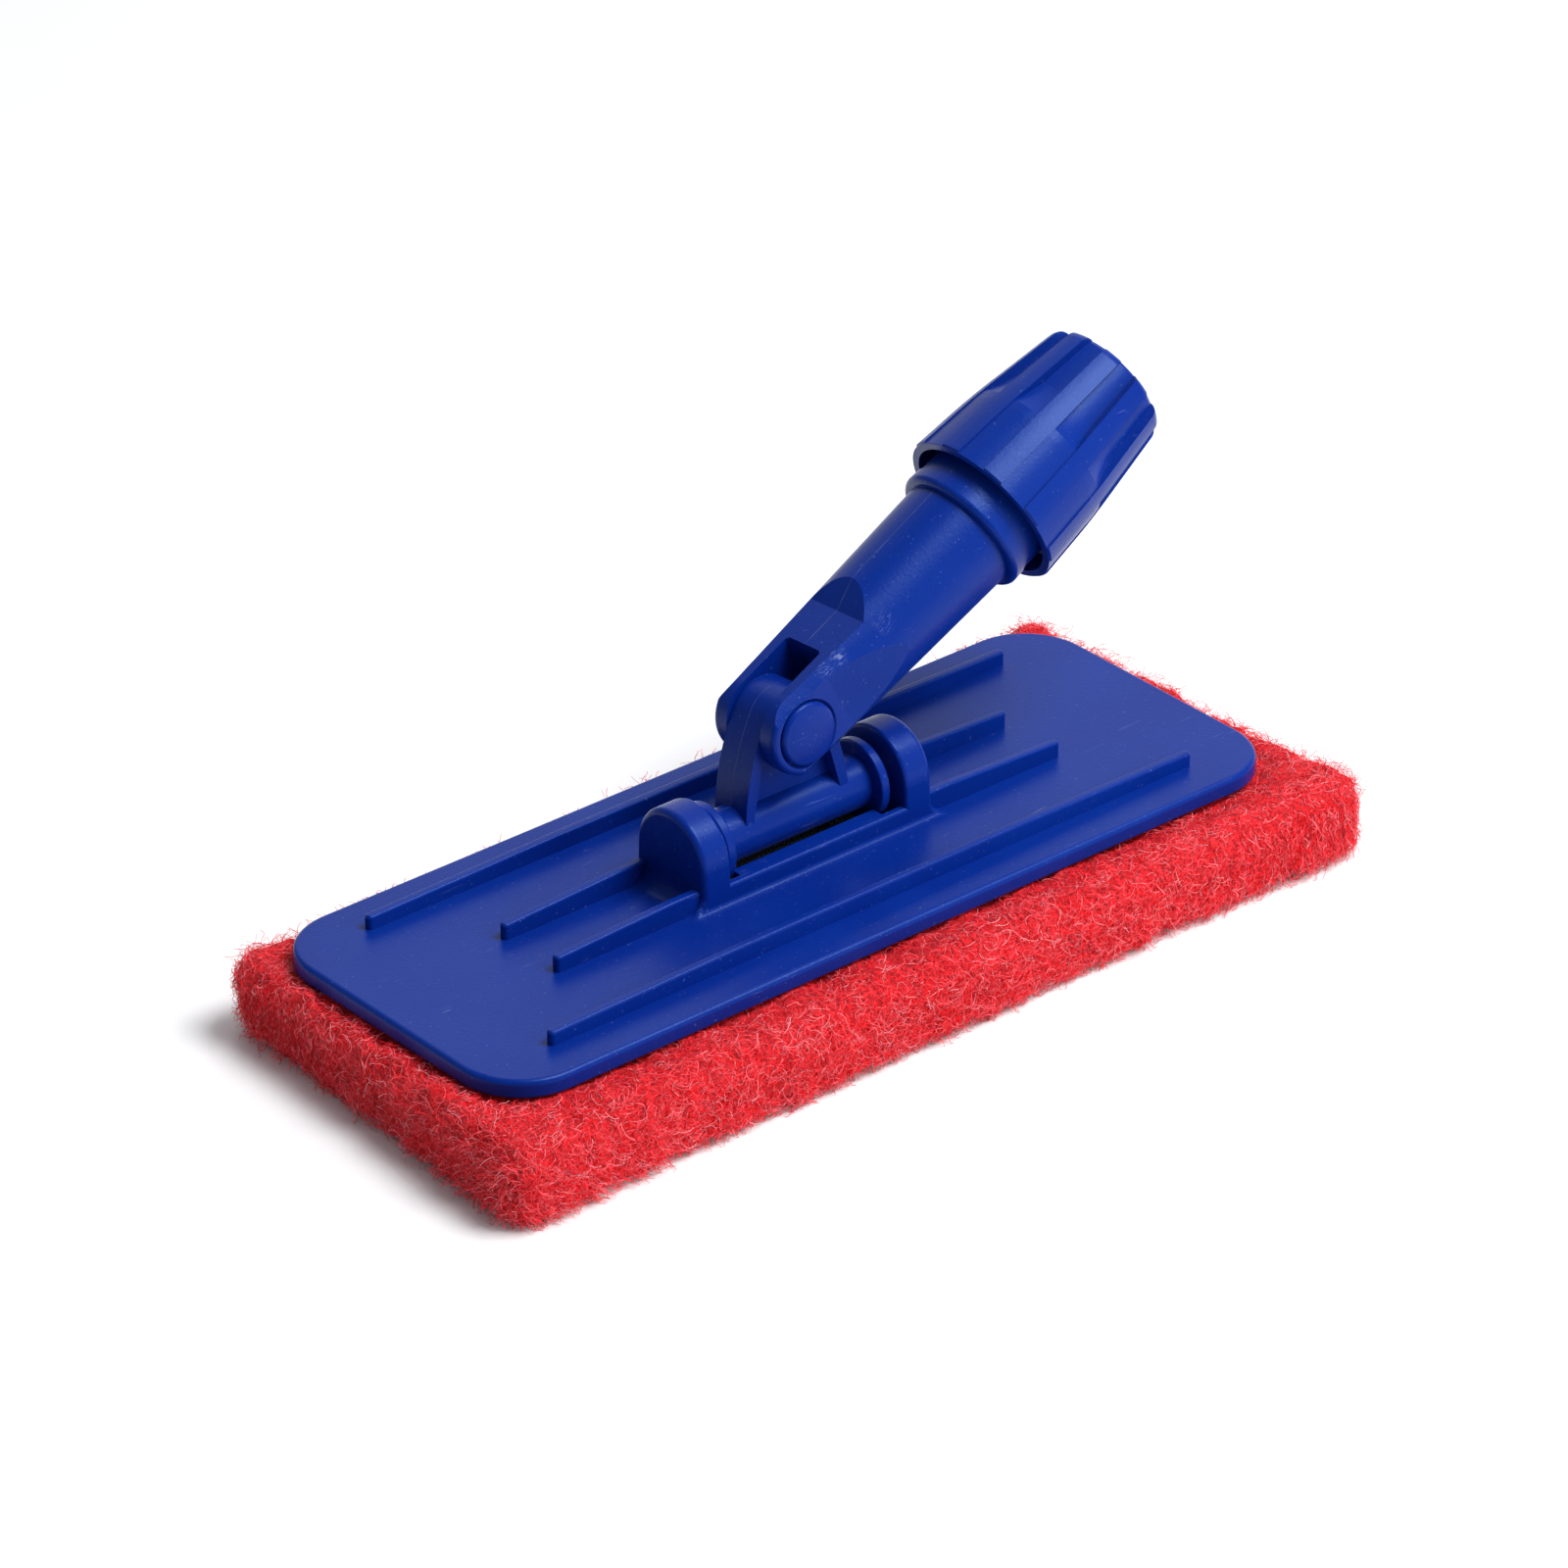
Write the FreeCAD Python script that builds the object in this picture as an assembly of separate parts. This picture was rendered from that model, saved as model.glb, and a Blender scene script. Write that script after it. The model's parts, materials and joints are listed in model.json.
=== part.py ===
"""Swivel pad holder with a scouring pad, a two-way yoke and a pole clamp.

A moulded plate carries the pad on hook tape. Two posts on the plate hold a
steel axle, the yoke swings on that axle, and a forked socket swings on the
yoke's eye at right angles to it. A ring nut clamps a pole in the socket.

Millimetres. The origin is on the pad's scrubbing face under the middle of
the plate, +X runs along the plate and +Z points away from the scrubbed wall.
"""

import FreeCAD
import Part
import math
import os

V = FreeCAD.Vector
X_AXIS = V(1, 0, 0)
Y_AXIS = V(0, 1, 0)
Z_AXIS = V(0, 0, 1)

# Pad: wider than the plate, cut a little out of square
pad_thickness = 20.0
pad_front_length = 258.0
pad_back_length = 248.5
pad_front_reach = 60.4
pad_back_reach = 51.5
pad_shift = 1.0
pad_corner = 4.0

# Backing plate
plate_length = 235.0
plate_width = 89.4
plate_thickness = 4.5
plate_corner = 17.0
plate_top_round = 1.3
plate_bottom_bevel = 0.5

# Ribs on the plate
rib_width = 2.4
rib_level_half = 42.0
rib_top_round = 0.7
outer_rib_y = 32.8
outer_rib_half = 97.0
outer_rib_height = 4.4
outer_rib_end_height = 3.5
inner_rib_y = 9.4
inner_rib_half = 76.4
inner_rib_height = 5.4
inner_rib_end_height = 4.0

# Hook tape in shallow recesses under the plate
tape_thickness = 1.2
tape_width = 22.0
tape_length = 214.0
tape_pitch = 28.5
tape_gap = 0.4

# Posts and the wall round the slot
axle_height = 14.0
post_gap = 53.0
post_thickness = 8.2
post_radius = 12.0
post_foot_half = 12.4
post_outer_round = 1.6
post_inner_round = 0.9
post_foot_fillet = 4.5
wall_height = 5.0
wall_foot_fillet = 1.4
wall_top_round = 1.0
slot_half = 7.4
slot_end_gap = 0.4
flange_gap = 0.6

# Steel axle, and the keepers that close the posts from below
axle_radius = 3.0
axle_embed = 5.9
channel_gap = 0.05
running_gap = 0.05
keeper_height = 2.6
keeper_half = 10.0
keeper_length = 6.6
keeper_gap = 0.1
screw_radius = 1.25
screw_depth = 8.0
screw_head_radius = 2.3
screw_head_height = 1.2
screw_head_gap = 0.2
screw_y = 7.0

# Yoke
yoke_lean = 4.0
yoke_shift = -0.9
yoke_end_gap = 2.0
yoke_tube_radius = 6.6
flange_radius = 10.0
flange_thickness = 2.5
flange_round = 0.5
eye_height = 23.4
eye_radius = 9.3
eye_round = 0.8
eye_width = 11.2
leg_foot_x = 15.6
leg_mid_x = 13.5
leg_mid_height = 14.6
leg_top_angle = 155.0
leg_wall = 3.0
web_thickness = 4.0
web_inner_foot = 14.0
web_inner_top = 9.7

# Handle socket with its fork
handle_angle = 26.3
ear_gap = 0.3
ear_outer_half = 10.8
ear_radius = 10.4
ear_round = 1.4
window_depth = 15.2
window_corner = 1.2
cheek_start = 11.0
cheek_full = 36.0
cheek_swell = ((0.0, 0.0), (0.40, 0.42), (0.70, 0.78), (1.0, 1.0))
step_start = 26.5
step_end = 34.3
pole_radius = 12.6
pole_stop = 36.0
socket_neck = 63.15
socket_taper = 1.5
spigot_wall = 1.4
spigot_shoulder = 0.8
spigot_length = 16.0

# Pivot pin in two halves that press together
pivot_radius = 4.5
pivot_core_radius = 2.6
pivot_head_radius = 7.8
pivot_head_sink = 1.6
pivot_head_rim = 0.8
pivot_head_dome = 0.5
pivot_head_ease = 1.2
pivot_head_flat = 1.5
pivot_head_gap = 0.3
pivot_sink_bevel = 0.4
pivot_end_gap = 0.6
pivot_core_length = 14.0

# Threaded sleeve with the collar
collar_wall = 3.0
collar_taper = 0.5
collar_length = 11.8
collar_round = 1.5
collar_groove = 0.35
collar_groove_place = 4.2
spigot_gap = 0.05
thread_wall = 1.6
sleeve_length = 28.4

# Split collet between the sleeve and the nut
collet_gap = 2.0
collet_length = 16.0
collet_slit = 2.0
collet_bore_gap = 0.05
collet_foot_wall = 1.4
collet_foot_length = 4.0
collet_nut_gap = 0.35

# Clamp nut
nut_overlap = 3.75
nut_length = 45.3
nut_rim_wall = 5.7
nut_bend_place = 17.5
nut_bend_wall = 4.6
nut_end_wall = 4.0
nut_bend_knee = 6.0
nut_end_round = 2.4
nut_rim_bevel = 0.5
nut_lobes = 10
nut_lobe_share = 0.53
nut_first_edge = 81.0
nut_soft_slope = 6.0
nut_valley_shallow = 0.4
nut_valley_deep = 2.3
nut_valley_end = 2.0
nut_valley_bevel = 0.8
nut_scoop_start = 19.8
nut_scoop_length = 9.0
nut_scoop_sag = 0.3
nut_mouth_gap = 2.0
nut_mouth_depth = 5.8
nut_thread_gap = 0.3
nut_thread_end = 26.0
nut_cone_step = 0.2
nut_cone_end_gap = 1.4
nut_hole_gap = 0.4
nut_lip = 3.0

# Derived places
plate_under = pad_thickness
plate_top = plate_under + plate_thickness
wall_top = plate_top + wall_height
rib_end_round = 0.45 * rib_width
axle_z = plate_under + axle_height
post_inner = post_gap / 2
post_outer = post_inner + post_thickness
axle_half = post_inner + axle_embed
yoke_length = post_gap - 2 * yoke_end_gap
eye_z = axle_z + eye_height
ear_inner_half = eye_width / 2 + ear_gap
spigot_radius = pole_radius + spigot_wall
socket_neck_radius = spigot_radius + spigot_shoulder
socket_root_radius = socket_neck_radius - socket_taper
collar_radius = spigot_radius + collar_wall
collar_top_radius = collar_radius - collar_taper
thread_radius = spigot_radius + thread_wall
collar_end = socket_neck + collar_length
sleeve_end = socket_neck + sleeve_length
collet_start = sleeve_end + collet_gap
nut_start = collar_end - nut_overlap
nut_rim_radius = thread_radius + nut_rim_wall
nut_bend_radius = thread_radius + nut_bend_wall
nut_end_radius = pole_radius + nut_end_wall
nut_rim_slope = (nut_rim_radius - nut_bend_radius) / nut_bend_place
nut_end_slope = (nut_bend_radius - nut_end_radius) / (nut_length - nut_bend_place)
nut_mouth_radius = collar_radius + nut_mouth_gap
nut_cone_radius = thread_radius - nut_cone_step
nut_cone_end_radius = pole_radius + nut_cone_end_gap
nut_hole_radius = pole_radius + nut_hole_gap
collet_foot_radius = pole_radius + collet_foot_wall


def face_of(edges):
    """Flat face inside one closed outline."""
    return Part.Face(Part.Wire(edges))


def segment(start, end):
    """Straight edge."""
    return Part.LineSegment(start, end).toShape()


def arc(start, middle, end):
    """Circular edge through three points."""
    return Part.Arc(start, middle, end).toShape()


def outline(points):
    """Flat face inside a closed polygon."""
    return Part.Face(Part.makePolygon(points + [points[0]]))


def box(x_range, y_range, z_range):
    """Upright box between three pairs of limits."""
    size = [high - low for low, high in (x_range, y_range, z_range)]
    return Part.makeBox(size[0], size[1], size[2], V(x_range[0], y_range[0], z_range[0]))


def rounded_slab(half_x, half_y, corner, low, high):
    """Slab centred on the origin whose upright corners are rounded."""
    slab = box((-half_x, half_x), (-half_y, half_y), (low, high))
    uprights = [edge for edge in slab.Edges if abs(edge.tangentAt(edge.FirstParameter).z) > 0.9]
    return slab.makeFillet(corner, uprights)


def level_edges(solid, height):
    """Edges of a solid that lie flat at one height."""
    tolerance = 1e-4
    return [
        edge for edge in solid.Edges
        if abs(edge.BoundBox.ZMin - height) < tolerance and abs(edge.BoundBox.ZMax - height) < tolerance
    ]


def turned(points, axis=X_AXIS):
    """Solid of revolution from an outline in the plane of X and Z."""
    return outline(points).revolve(V(0, 0, 0), axis, 360)


def leaned(shape):
    """Yoke parts stand off the plate's normal by the yoke's lean."""
    shape.rotate(V(0, 0, axle_z), X_AXIS, -yoke_lean)
    return shape


def on_handle(shape):
    """From the handle's own frame, +X along the pole and origin on the pivot, to the part's."""
    shape.rotate(V(0, 0, 0), Y_AXIS, -handle_angle)
    shape.translate(V(yoke_shift, 0, eye_z))
    return leaned(shape)


def scrub_pad():
    """Pad: a slab a little longer along its front, with eased corners."""
    front = pad_front_length / 2
    back = pad_back_length / 2
    face = outline([
        V(pad_shift - front, -pad_front_reach, 0), V(pad_shift + front, -pad_front_reach, 0),
        V(pad_shift + back, pad_back_reach, 0), V(pad_shift - back, pad_back_reach, 0),
    ])
    slab = face.extrude(V(0, 0, pad_thickness))
    uprights = [edge for edge in slab.Edges if abs(edge.tangentAt(edge.FirstParameter).z) > 0.9]
    return slab.makeFillet(pad_corner, uprights)


def hook_strip(place):
    """One strip of hook tape; place is -1 front, 0 centre, 1 back."""
    middle = place * tape_pitch
    return box(
        (-tape_length / 2, tape_length / 2),
        (middle - tape_width / 2, middle + tape_width / 2),
        (plate_under, plate_under + tape_thickness),
    )


def tape_recess(place):
    """Room under the plate for one strip of hook tape."""
    middle = place * tape_pitch
    half = tape_width / 2 + tape_gap
    return box(
        (-tape_length / 2 - tape_gap, tape_length / 2 + tape_gap),
        (middle - half, middle + half),
        (plate_under, plate_under + tape_thickness),
    )


def plate_slab():
    """Plate with rounded corners, a soft top edge and bevelled underside."""
    slab = rounded_slab(plate_length / 2, plate_width / 2, plate_corner, plate_under, plate_top)
    slab = slab.makeFillet(plate_top_round, level_edges(slab, plate_top))
    return slab.makeChamfer(plate_bottom_bevel, level_edges(slab, plate_under))


def rib(middle_y, height, end_height, start_x, end_x, level_start, level_end):
    """Rib on the plate: level along its middle, sloping to low rounded ends."""
    low = plate_top - plate_thickness / 3
    high = plate_top + height
    end_high = plate_top + end_height
    side = [V(start_x, 0, low), V(end_x, 0, low)]
    side.append(V(end_x, 0, high if level_end >= end_x else end_high))
    if level_end < end_x:
        side.append(V(level_end, 0, high))
    if level_start > start_x:
        side.append(V(level_start, 0, high))
    side.append(V(start_x, 0, high if level_start <= start_x else end_high))
    body = outline(side).extrude(V(0, rib_width, 0))
    body.translate(V(0, middle_y - rib_width / 2, 0))
    ends = [
        edge for edge in body.Edges
        if abs(edge.tangentAt(edge.FirstParameter).z) > 0.9
        and (abs(edge.CenterOfMass.x - start_x) < 1e-4 and level_start > start_x
             or abs(edge.CenterOfMass.x - end_x) < 1e-4 and level_end < end_x)
    ]
    body = body.makeFillet(rib_end_round, ends)
    crest = [
        edge for edge in body.Edges
        if edge.BoundBox.ZMin > end_high - 1e-4 and edge.BoundBox.XLength > rib_width
    ]
    return body.makeFillet(rib_top_round, crest)


def post_profile():
    """Cross-section of posts and wall: an arch over the axle on flared, filleted feet."""
    foot = V(0, post_foot_half, plate_top + wall_foot_fillet)
    reach = math.hypot(foot.y, foot.z - axle_z)
    swing = math.acos(post_radius / reach) + math.atan2(foot.z - axle_z, foot.y)
    touch = V(0, post_radius * math.cos(swing), axle_z + post_radius * math.sin(swing))
    toe = V(0, post_foot_half + wall_foot_fillet, plate_top)
    bend = wall_foot_fillet * (1 - math.sqrt(0.5))
    heel = V(0, post_foot_half + bend, plate_top + bend)
    buried = plate_top - plate_thickness / 3

    def mirror(point):
        return V(0, -point.y, point.z)

    return face_of([
        arc(toe, heel, foot),
        segment(foot, touch),
        arc(touch, V(0, 0, axle_z + post_radius), mirror(touch)),
        segment(mirror(touch), mirror(foot)),
        arc(mirror(foot), mirror(heel), mirror(toe)),
        segment(mirror(toe), V(0, -toe.y, buried)),
        segment(V(0, -toe.y, buried), V(0, toe.y, buried)),
        segment(V(0, toe.y, buried), toe),
    ])


def post(side):
    """One axle post; side is -1 left, 1 right."""
    arch = post_profile()
    foot_end = post_outer + post_foot_fillet
    arch.translate(V(post_inner, 0, 0))
    body = arch.extrude(V(foot_end - post_inner, 0, 0))
    high = axle_z + post_radius + 1
    bend = post_foot_fillet * (1 - math.sqrt(0.5))
    buried = plate_top - plate_thickness / 3
    silhouette = face_of([
        segment(V(post_inner, 0, buried), V(foot_end, 0, buried)),
        segment(V(foot_end, 0, buried), V(foot_end, 0, plate_top)),
        arc(
            V(foot_end, 0, plate_top),
            V(post_outer + bend, 0, plate_top + bend),
            V(post_outer, 0, plate_top + post_foot_fillet),
        ),
        segment(V(post_outer, 0, plate_top + post_foot_fillet), V(post_outer, 0, high)),
        segment(V(post_outer, 0, high), V(post_inner, 0, high)),
        segment(V(post_inner, 0, high), V(post_inner, 0, buried)),
    ])
    width = 2 * (post_foot_half + post_radius)
    silhouette.translate(V(0, -width / 2, 0))
    body = body.common(silhouette.extrude(V(0, width, 0)))
    for place, radius in ((post_outer, post_outer_round), (post_inner, post_inner_round)):
        rim = [
            edge for edge in body.Edges
            if abs(edge.BoundBox.XMin - place) < 1e-4 and abs(edge.BoundBox.XMax - place) < 1e-4
            and edge.BoundBox.ZMax > axle_z + post_radius - 0.1
        ]
        body = body.makeFillet(radius, rim)
    if side < 0:
        body = body.mirror(V(0, 0, 0), X_AXIS)
    return body


def slot_wall():
    """Low wall from post to post, of the posts' own section cut off level."""
    half = post_inner + post_inner_round
    section = post_profile()
    section.translate(V(-half, 0, 0))
    body = section.extrude(V(2 * half, 0, 0))
    reach = post_foot_half + wall_foot_fillet
    body = body.common(box((-half, half), (-reach, reach), (plate_under, wall_top)))
    long_edges = [edge for edge in level_edges(body, wall_top) if edge.BoundBox.XLength > post_gap / 2]
    return body.makeFillet(wall_top_round, long_edges)


def yoke_slot():
    """Opening through plate and wall: narrow under the tube, wide under the flanges."""
    end_half = flange_radius + slot_end_gap
    low = plate_under - 1
    high = wall_top + 1
    slot = box((-post_inner, post_inner), (-slot_half, slot_half), (low, high))
    for side in (-1, 1):
        flange_face = yoke_shift + side * (yoke_length / 2 - flange_thickness - flange_gap)
        limits = sorted((side * post_inner, flange_face))
        slot = slot.fuse(box(limits, (-end_half, end_half), (low, high)))
    return slot


def axle_channel(side):
    """Channel in a post, open below, that the axle drops into."""
    radius = axle_radius + channel_gap
    limits = sorted((side * (post_inner - 1), side * axle_half))
    shaft = Part.makeCylinder(radius, limits[1] - limits[0], V(limits[0], 0, axle_z), X_AXIS)
    return shaft.fuse(box(limits, (-radius, radius), (plate_under, axle_z)))


def keeper_middle():
    """Distance of a keeper's middle from the plate's middle."""
    return post_inner + post_thickness / 2


def keeper_pocket(side, gap):
    """Flat pocket under a post for the keeper's foot."""
    middle = side * keeper_middle()
    half = keeper_length / 2 + gap
    floor = plate_under + tape_thickness
    return box(
        (middle - half, middle + half),
        (-keeper_half - gap, keeper_half + gap),
        (floor, floor + keeper_height),
    )


def screw_places(side):
    """Feet of one keeper's two screws."""
    floor = plate_under + tape_thickness
    return [V(side * keeper_middle(), end * screw_y, floor) for end in (-1, 1)]


def screw_core(place):
    """Shank of a keeper screw."""
    return Part.makeCylinder(screw_radius, keeper_height + screw_depth, place)


def backing_plate():
    """Moulded plate with ribs, posts, slot wall, tape recesses and axle channels."""
    body = plate_slab()
    for side in (-1, 1):
        body = body.fuse(rib(
            side * outer_rib_y, outer_rib_height, outer_rib_end_height,
            -outer_rib_half, outer_rib_half, -rib_level_half, rib_level_half,
        ))
        for end_y in (-inner_rib_y, inner_rib_y):
            near = post_outer - post_outer_round
            limits = (near, inner_rib_half, near, rib_level_half)
            if side < 0:
                limits = (-inner_rib_half, -near, -rib_level_half, -near)
            body = body.fuse(rib(end_y, inner_rib_height, inner_rib_end_height, *limits))
        body = body.fuse(post(side))
    body = body.fuse(slot_wall())
    body = body.cut(yoke_slot())
    for place in (-1, 0, 1):
        body = body.cut(tape_recess(place))
    for side in (-1, 1):
        body = body.cut(axle_channel(side))
        body = body.cut(keeper_pocket(side, keeper_gap))
        for place in screw_places(side):
            body = body.cut(screw_core(place))
    return body.removeSplitter()


def cross_axle():
    """Steel rod through the yoke, held at both ends in the posts."""
    bevel = 0.4
    rod = Part.makeCylinder(axle_radius, 2 * axle_half, V(-axle_half, 0, axle_z), X_AXIS)
    ends = [edge for edge in rod.Edges if edge.BoundBox.XLength < 1e-4]
    return rod.makeChamfer(bevel, ends)


def axle_keeper(side):
    """Keeper: a foot in the pocket and a saddle up the channel to the axle."""
    middle = side * keeper_middle()
    foot = keeper_pocket(side, 0)
    half_x = (axle_half - post_inner) / 2 - keeper_gap
    saddle_middle = side * (post_inner + axle_half) / 2
    saddle = box(
        (saddle_middle - half_x, saddle_middle + half_x),
        (-axle_radius + keeper_gap, axle_radius - keeper_gap),
        (plate_under + tape_thickness, axle_z),
    )
    body = foot.fuse(saddle)
    rod = Part.makeCylinder(axle_radius, post_thickness * 2, V(middle - post_thickness, 0, axle_z), X_AXIS)
    body = body.cut(rod)
    for place in screw_places(side):
        body = body.cut(screw_core(place))
        sink = screw_head_radius + screw_head_gap
        body = body.cut(Part.makeCylinder(sink, screw_head_height, place))
    return body.removeSplitter()


def keeper_screws():
    """Four self-tapping screws that fix the keepers from below."""
    screws = []
    for side in (-1, 1):
        for place in screw_places(side):
            head = Part.makeCylinder(screw_head_radius, screw_head_height, place)
            drive = Part.makeCylinder(screw_radius * 0.8, screw_head_height / 2, place)
            screws.append(head.fuse(screw_core(place)).cut(drive).removeSplitter())
    return Part.makeCompound(screws)


def yoke_frame():
    """A-shaped frame in the plane of X and Z: arched legs up to the eye, pocketed both sides."""
    top_turn = math.radians(leg_top_angle)
    top = V(eye_radius * math.cos(top_turn), 0, eye_height + eye_radius * math.sin(top_turn))
    foot = V(-leg_foot_x, 0, 0)
    waist = V(-leg_mid_x, 0, leg_mid_height)

    def mirror(point):
        return V(-point.x, 0, point.z)

    face = face_of([
        arc(foot, waist, top),
        arc(top, V(0, 0, eye_height + eye_radius), mirror(top)),
        arc(mirror(top), mirror(waist), mirror(foot)),
        segment(mirror(foot), foot),
    ])
    frame = face.extrude(V(0, eye_width, 0))
    frame.translate(V(0, -eye_width / 2, 0))
    hollow = outline([
        V(-web_inner_foot, 0, 0), V(web_inner_foot, 0, 0),
        V(web_inner_top, 0, eye_height - eye_radius + leg_wall),
        V(-web_inner_top, 0, eye_height - eye_radius + leg_wall),
    ])
    boss = Part.makeCylinder(eye_radius, eye_width * 3, V(0, -eye_width * 1.5, eye_height), Y_AXIS)
    for side in (-1, 1):
        pocket = hollow.extrude(V(0, side * eye_width, 0))
        pocket.translate(V(0, side * web_thickness / 2, 0))
        frame = frame.cut(pocket.cut(boss))
    return frame


def swivel_yoke():
    """Yoke: flanged tube on the axle, A-frame and cross eye for the handle's pivot."""
    half = yoke_length / 2
    tube = Part.makeCylinder(yoke_tube_radius, yoke_length, V(-half, 0, 0), X_AXIS)
    body = tube.fuse(yoke_frame())
    for end in (-half, half - flange_thickness):
        flange = Part.makeCylinder(flange_radius, flange_thickness, V(end, 0, 0), X_AXIS)
        rims = [edge for edge in flange.Edges if edge.BoundBox.XLength < 1e-4]
        body = body.fuse(flange.makeFillet(flange_round, rims))
    bore = Part.makeCylinder(axle_radius + running_gap, yoke_length + 2, V(-half - 1, 0, 0), X_AXIS)
    body = body.cut(bore)
    eye_bore = Part.makeCylinder(
        pivot_radius + running_gap, eye_width + 2, V(0, -eye_width / 2 - 1, eye_height), Y_AXIS,
    )
    body = body.cut(eye_bore).removeSplitter()
    body.translate(V(yoke_shift, 0, axle_z))
    return leaned(body)


def socket_radius(station):
    """Outer radius of the slightly tapered socket at a distance from the pivot."""
    return socket_root_radius + (socket_neck_radius - socket_root_radius) * station / socket_neck


def fork_sides():
    """Seen from above: parallel ears whose cheeks swell out to the round socket."""
    beyond = socket_neck + spigot_length + 5
    wide = collar_radius + 5
    full = socket_radius(cheek_full) + 0.3
    swell = Part.BSplineCurve()
    run = cheek_full - cheek_start
    rise = full - ear_outer_half
    swell.interpolate([
        V(cheek_start + along * run, ear_outer_half + out * rise, 0) for along, out in cheek_swell
    ])
    upper = swell.toShape()
    lower = upper.mirror(V(0, 0, 0), Y_AXIS)
    near = cheek_start - ear_round
    return face_of([
        segment(V(near, ear_outer_half, 0), V(cheek_start, ear_outer_half, 0)),
        upper,
        segment(V(cheek_full, full, 0), V(cheek_full, wide, 0)),
        segment(V(cheek_full, wide, 0), V(beyond, wide, 0)),
        segment(V(beyond, wide, 0), V(beyond, -wide, 0)),
        segment(V(beyond, -wide, 0), V(cheek_full, -wide, 0)),
        segment(V(cheek_full, -wide, 0), V(cheek_full, -full, 0)),
        lower,
        segment(V(cheek_start, -ear_outer_half, 0), V(near, -ear_outer_half, 0)),
        segment(V(near, -ear_outer_half, 0), V(near, ear_outer_half, 0)),
    ])


def fork_profile():
    """Seen from the side: ears with flats above and below, and slanted steps to the round."""
    beyond = socket_neck + spigot_length + 5
    wide = collar_radius + 5
    crest = socket_radius(step_end) + 0.2
    near = cheek_start - ear_round
    return outline([
        V(near, 0, -ear_radius), V(step_start, 0, -ear_radius), V(step_end, 0, -crest),
        V(step_end, 0, -wide), V(beyond, 0, -wide), V(beyond, 0, wide), V(step_end, 0, wide),
        V(step_end, 0, crest), V(step_start, 0, ear_radius), V(near, 0, ear_radius),
    ])


def ear_block():
    """Round-ended block of both ears with an eased rim."""
    end = cheek_start
    face = face_of([
        arc(V(0, 0, -ear_radius), V(-ear_radius, 0, 0), V(0, 0, ear_radius)),
        segment(V(0, 0, ear_radius), V(end, 0, ear_radius)),
        segment(V(end, 0, ear_radius), V(end, 0, -ear_radius)),
        segment(V(end, 0, -ear_radius), V(0, 0, -ear_radius)),
    ])
    block = face.extrude(V(0, 2 * ear_outer_half, 0))
    block.translate(V(0, -ear_outer_half, 0))
    rims = [
        edge for edge in block.Edges
        if edge.BoundBox.YLength < 1e-4 and edge.BoundBox.XMin < end - 0.1
    ]
    return block.makeFillet(ear_round, rims)


def pin_counterbore(side):
    """Room in an ear for the pin's head, bevelled at its mouth."""
    radius = pivot_head_radius + pivot_head_gap
    floor = side * (ear_outer_half - pivot_head_sink)
    mouth = side * (ear_outer_half - pivot_sink_bevel)
    beyond = side * (ear_outer_half + pivot_sink_bevel)
    sink = outline([
        V(0, floor, 0), V(radius, floor, 0), V(radius, mouth, 0),
        V(radius + 2 * pivot_sink_bevel, beyond, 0), V(0, beyond, 0),
    ])
    return sink.revolve(V(0, 0, 0), Y_AXIS, 360)


def fork_socket():
    """Handle socket: forked end on the yoke's eye, round tapered tube for the pole."""
    wide = collar_radius + 5
    blank = turned([
        V(-ear_radius - 1, 0, 0), V(-ear_radius - 1, 0, socket_radius(-ear_radius - 1)),
        V(socket_neck, 0, socket_neck_radius), V(socket_neck, 0, spigot_radius),
        V(socket_neck + spigot_length, 0, spigot_radius), V(socket_neck + spigot_length, 0, 0),
    ])
    plan = fork_sides()
    plan.translate(V(0, 0, -wide))
    side = fork_profile()
    side.translate(V(0, -wide, 0))
    shank = plan.extrude(V(0, 0, 2 * wide)).common(side.extrude(V(0, 2 * wide, 0)))
    body = blank.common(shank.fuse(ear_block()).removeSplitter())
    window = box((-ear_radius - 2, window_depth), (-ear_inner_half, ear_inner_half), (-wide, wide))
    corners = [
        edge for edge in window.Edges
        if abs(edge.tangentAt(edge.FirstParameter).z) > 0.9 and edge.CenterOfMass.x > 0
    ]
    body = body.cut(window.makeFillet(window_corner, corners))
    length = socket_neck + spigot_length - pole_stop + 1
    body = body.cut(Part.makeCylinder(pole_radius, length, V(pole_stop, 0, 0), X_AXIS))
    pin_length = 2 * ear_outer_half + 2
    start = V(0, -ear_outer_half - 1, 0)
    body = body.cut(Part.makeCylinder(pivot_radius + running_gap, pin_length, start, Y_AXIS))
    for side in (-1, 1):
        body = body.cut(pin_counterbore(side))
    return on_handle(body.removeSplitter())


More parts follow.
